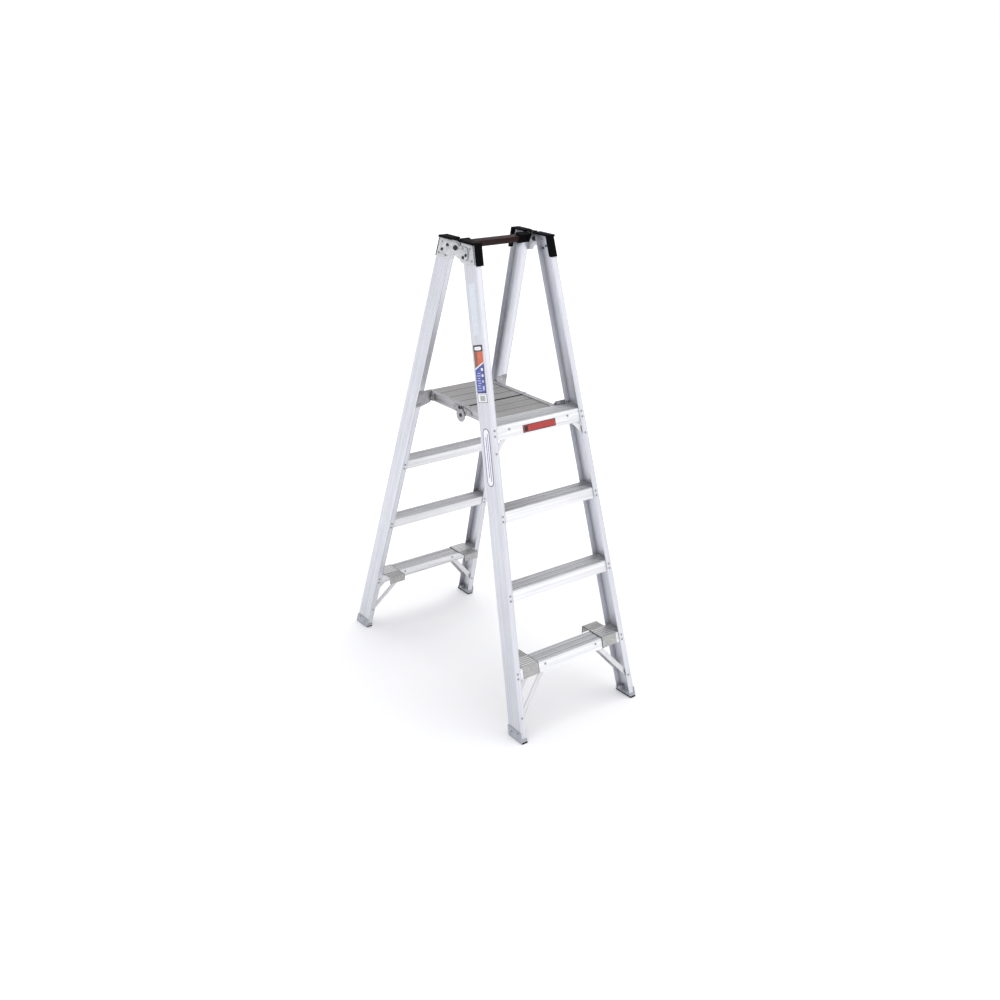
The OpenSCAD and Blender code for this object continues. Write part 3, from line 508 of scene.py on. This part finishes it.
INKS = {
    "patch": dict(base=(0.66, 0.70, 0.76), rough=0.4),
    "black": dict(base=(0.010, 0.010, 0.012)),
    "white": dict(base=(0.86, 0.86, 0.88)),
    "orange": dict(base=(0.62, 0.12, 0.055)),
    "brown": dict(base=(0.24, 0.10, 0.055)),
    "blue": dict(base=(0.065, 0.09, 0.33)),
    "navy": dict(base=(0.018, 0.024, 0.13)),
    "pale": dict(base=(0.42, 0.47, 0.74)),
    "green_grey": dict(base=(0.36, 0.40, 0.36)),
    "red": dict(base=(0.42, 0.035, 0.03), rib=False),
    "edge_black": dict(base=(0.012, 0.011, 0.012), rib=False),
}
FILM_INK = {ink: vinyl("film_" + ink, **look) for ink, look in INKS.items()}


# ------------------------------------------------------------------ CAD pieces
def finish_of(name):
    for material, slot, patterns in FINISHES:
        if any(fnmatchcase(name, pattern) for pattern in patterns):
            return material, slot
    raise RuntimeError("no material for " + name)


def round_edges(piece, width):
    """Rounds the edges of a CAD piece with modifiers only."""
    weld = piece.modifiers.new("weld", "WELD")
    weld.merge_threshold = 2e-6
    flat = piece.modifiers.new("flat", "DECIMATE")
    flat.decimate_type = "DISSOLVE"
    flat.angle_limit = math.radians(0.6)
    flat.delimit = {"NORMAL"}
    bevel = piece.modifiers.new("edges", "BEVEL")
    bevel.width = width
    bevel.segments = 2
    bevel.limit_method = "ANGLE"
    bevel.angle_limit = SHARP_ANGLE
    bevel.use_clamp_overlap = True
    bevel.harden_normals = True
    bevel.miter_outer = "MITER_ARC"


def finish_pieces():
    for name, piece in nodes.items():
        if name == "labels":
            continue
        material, slot = finish_of(name)
        piece.data.materials.clear()
        piece.data.materials.append(material)
        if "rail_" not in name:
            round_edges(piece, EDGE[slot])
        piece.data.shade_smooth()
        piece.data.set_sharp_from_angle(angle=SHARP_ANGLE)


# ------------------------------------------------------------------ labels
def film(name, ink, outline, layer=0, place=FRONT @ LEFT_RAIL):
    """A thin film cut to outline (y, z in mm), facing -x of place, stacked by layer."""
    face = FILM_FACE - FILM_STEP * layer
    back = FILM_BACK if layer == 0 else FILM_LAYER_BACK
    bm = bmesh.new()
    lower = [bm.verts.new((back, y * MM, z * MM)) for y, z in outline]
    upper = [bm.verts.new((face, y * MM, z * MM)) for y, z in outline]
    bm.faces.new(lower)
    bm.faces.new(upper)
    for i in range(len(outline)):
        j = (i + 1) % len(outline)
        bm.faces.new((lower[i], lower[j], upper[j], upper[i]))
    bmesh.ops.recalc_face_normals(bm, faces=bm.faces)
    bm.transform(place)
    mesh = bpy.data.meshes.new(name)
    bm.to_mesh(mesh)
    bm.free()
    mesh.materials.append(FILM_INK[ink])
    made = bpy.data.objects.new(name, mesh)
    scene.collection.objects.link(made)
    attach(made, "front_frame")
    return made


def rect(y0, z0, y1, z1, radius=0.0):
    """Rectangle between two corners, its own corners rounded by radius."""
    if not radius:
        return [(y0, z0), (y1, z0), (y1, z1), (y0, z1)]
    low_y, high_y = y0 + radius, y1 - radius
    low_z, high_z = z0 + radius, z1 - radius
    points = []
    for y, z, start in ((high_y, low_z, -90), (high_y, high_z, 0),
                        (low_y, high_z, 90), (low_y, low_z, 180)):
        for i in range(9):
            angle = math.radians(start + i * 11.25)
            points.append((y + radius * math.cos(angle), z + radius * math.sin(angle)))
    return points


# Label tables: name, ink, outline (mm), layer. On the web of the front left rail the
# outline is y from the rail's middle and z up the rail.
PANEL_FILMS = (
    ("header", "black", rect(-28, 1495.5, 28, 1519, 1.5), 0),
    ("header_bar", "white", rect(-21, 1500, 21, 1513, 6.4), 1),
    ("header_line", "patch", rect(-11, 1505, 11, 1508.5, 1.6), 2),
    ("panel_back", "white", rect(-28.5, 1338, 28.5, 1495), 0),
    ("orange_panel", "orange", [(-28, 1457), (-28, 1495), (8, 1495), (8, 1442)], 1),
    ("brown_panel", "brown", [(8, 1442), (8, 1495), (28, 1495), (28, 1433)], 1),
    ("blue_panel", "blue", [(-22, 1341), (28, 1341), (28, 1428), (-22, 1450)], 1),
    ("blue_side", "navy", [(-28, 1341), (-22, 1341), (-22, 1450), (-28, 1453)], 1),
    ("blue_foot", "navy", rect(-22, 1341, 28, 1345), 2),
    ("block_0", "white", rect(-20, 1424, -8, 1434, 1.5), 2),
    ("block_1", "white", rect(-20, 1402, -9, 1411, 1.5), 2),
    ("block_2", "pale", rect(-21, 1381, -7, 1389, 1.5), 2),
    ("block_3", "pale", rect(-21, 1352, -8, 1368, 1.5), 2),
)
LOWER_FILMS = (
    ("box_edge", "navy", rect(-28.5, 1306, 28.5, 1337), 0),
    ("box", "white", rect(-26.8, 1307.8, 26.8, 1336.4), 1),
    ("box_block", "green_grey", rect(-18, 1312, 14, 1332, 1.5), 2),
    ("stadium_edge", "navy", rect(-20, 990, 20, 1210, 19.9), 0),
    ("stadium", "white", rect(-17, 993, 17, 1207, 16.9), 1),
    ("stadium_line", "blue", rect(-9, 1010, -5.5, 1190, 1.7), 2),
    ("stadium_line_b", "blue", rect(2, 1022, 5.5, 1178, 1.7), 2),
)
# on the apron of the platform beam the outline is -x and height up the frame
APRON_FILMS = (
    ("beam_edge", "edge_black", rect(-80, 1164.4, 80, 1193.4, 1), 0),
    ("beam_panel", "red", rect(-77, 1167, 77, 1190.8, 0.8), 1),
    ("beam_block", "edge_black", rect(56, 1169.5, 73, 1188.3, 1), 2),
)


def add_labels():
    upper_patch = film("film_patch_upper", "patch", rect(-20, 1553, 20, 1743, 3))
    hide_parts("labels")
    for name, *cut in PANEL_FILMS:
        film("film_" + name, *cut)
    # rows of bars with staggered ends on the blue panel
    for i in range(8):
        z = 1349 + i * 9.2
        outline = rect(-2 + (i % 3) * 2, z, 22 - (i % 2) * 5, z + 3.4)
        film("film_bar_%d" % i, "pale", outline, 2)
    for name, *cut in LOWER_FILMS:
        film("film_" + name, *cut)
    for name, *cut in APRON_FILMS:
        film("film_" + name, *cut, place=APRON)


# ------------------------------------------------------------------ floor, light, camera
def add_floor():
    """White floor that glows more away from the ladder."""
    mesh = bpy.data.meshes.new("floor")
    bm = bmesh.new()
    bmesh.ops.create_grid(bm, x_segments=8, y_segments=8, size=400)
    bm.to_mesh(mesh)
    bm.free()
    floor = bpy.data.objects.new("floor", mesh)
    floor.location = (0, 0, -0.0002)
    scene.collection.objects.link(floor)
    t = Tree("studio_floor")
    cloud = t.noise(t.coord, scale=3, detail=3)
    t.set("Base Color", t.mix(cloud, (0.925, 0.925, 0.925), over=(0.94, 0.94, 0.94)))
    t.set("Roughness", 0.9)
    t.set("Specular IOR Level", 0.05)
    t.set("Emission Color", (1, 1, 1))
    radius = t.node("ShaderNodeVectorMath", operation="LENGTH")
    t.put(radius.inputs[0], t.coord)
    glow = t.ramp(radius.outputs["Value"], 0.8, 2.0, low=0.07, high=0.34)
    t.set("Emission Strength", glow)
    mesh.materials.append(t.material)


def add_world():
    """White surround, brighter to the front and overhead; plain white to the camera."""
    world = bpy.data.worlds.new("studio")
    scene.world = world
    world.use_nodes = True
    new = world.node_tree.nodes.new
    link = world.node_tree.links.new
    world.node_tree.nodes.clear()

    def calc(operation, a, b):
        made = new("ShaderNodeMath")
        made.operation = operation
        for socket, value in zip(made.inputs, (a, b)):
            if isinstance(value, bpy.types.NodeSocket):
                link(value, socket)
            else:
                socket.default_value = value
        return made.outputs[0]

    # Incoming points back from the sky: +y is seen at the front, -z overhead
    incoming = new("ShaderNodeNewGeometry").outputs["Incoming"]
    split = new("ShaderNodeSeparateXYZ")
    link(incoming, split.inputs[0])
    to_front = calc("MULTIPLY", calc("MAXIMUM", split.outputs[1], 0.0), 0.26)
    level = calc("ADD", 0.74, to_front)
    overhead = calc("MULTIPLY", calc("MAXIMUM", split.outputs[2], -1.0), -0.18)
    level = calc("ADD", level, overhead)
    tint = new("ShaderNodeCombineColor")
    for i, share in enumerate((0.985, 0.985, 1.015)):
        link(calc("MULTIPLY", level, share), tint.inputs[i])
    lit = new("ShaderNodeBackground")
    link(tint.outputs[0], lit.inputs["Color"])
    seen = new("ShaderNodeBackground")
    seen.inputs["Color"].default_value = (1, 1, 1, 1)
    seen.inputs["Strength"].default_value = 1.0
    pick = new("ShaderNodeMixShader")
    link(new("ShaderNodeLightPath").outputs["Is Camera Ray"], pick.inputs[0])
    link(lit.outputs[0], pick.inputs[1])
    link(seen.outputs[0], pick.inputs[2])
    link(pick.outputs[0], new("ShaderNodeOutputWorld").inputs[0])


def add_area(name, place, target, size, power, color):
    light = bpy.data.lights.new(name, "AREA")
    light.shape = "RECTANGLE"
    light.size, light.size_y = size
    light.energy = power
    light.color = color
    lamp = bpy.data.objects.new(name, light)
    lamp.location = place
    lamp.rotation_mode = "QUATERNION"
    lamp.rotation_quaternion = (Vector(target) - Vector(place)).to_track_quat("-Z", "Y")
    scene.collection.objects.link(lamp)


def add_camera():
    """Camera to the front left, above the platform, with a slight roll."""
    data = bpy.data.cameras.new("camera")
    data.sensor_width = 36
    data.lens = 41.825
    data.clip_start = 0.1
    data.clip_end = 200
    camera = bpy.data.objects.new("camera", data)
    scene.collection.objects.link(camera)
    forward = Vector((0.5684, 0.7276, -0.384)).normalized()
    heading = math.radians(-37.994)  # of the level direction to the camera's right
    roll = math.radians(1.3122)
    level = Vector((math.cos(heading), math.sin(heading), 0))
    upright = level.cross(forward)
    right = level * math.cos(roll) + upright * math.sin(roll)
    up = upright * math.cos(roll) - level * math.sin(roll)
    pose = Matrix((right, up, -forward)).transposed().to_4x4()
    pose.translation = Vector((-2.696, -3.507, 2.579))
    camera.matrix_world = pose
    scene.camera = camera


finish_pieces()
add_labels()
add_floor()
add_world()
add_area("key_front", place=(2.2, -4.0, 2.9), target=(0, -0.2, 0.9), size=(2.6, 2.6),
         power=14, color=(1.0, 0.995, 0.985))
add_area("side_left", place=(-4.2, 0.6, 2.2), target=(0, 0, 0.9), size=(2.5, 3.0),
         power=8, color=(0.93, 0.94, 1.0))
add_area("top", place=(0.5, 0.3, 4.6), target=(0, 0, 0), size=(2.0, 2.0),
         power=40, color=(1, 1, 1))
add_camera()
scene.view_settings.view_transform = "Standard"
scene.view_settings.look = "None"
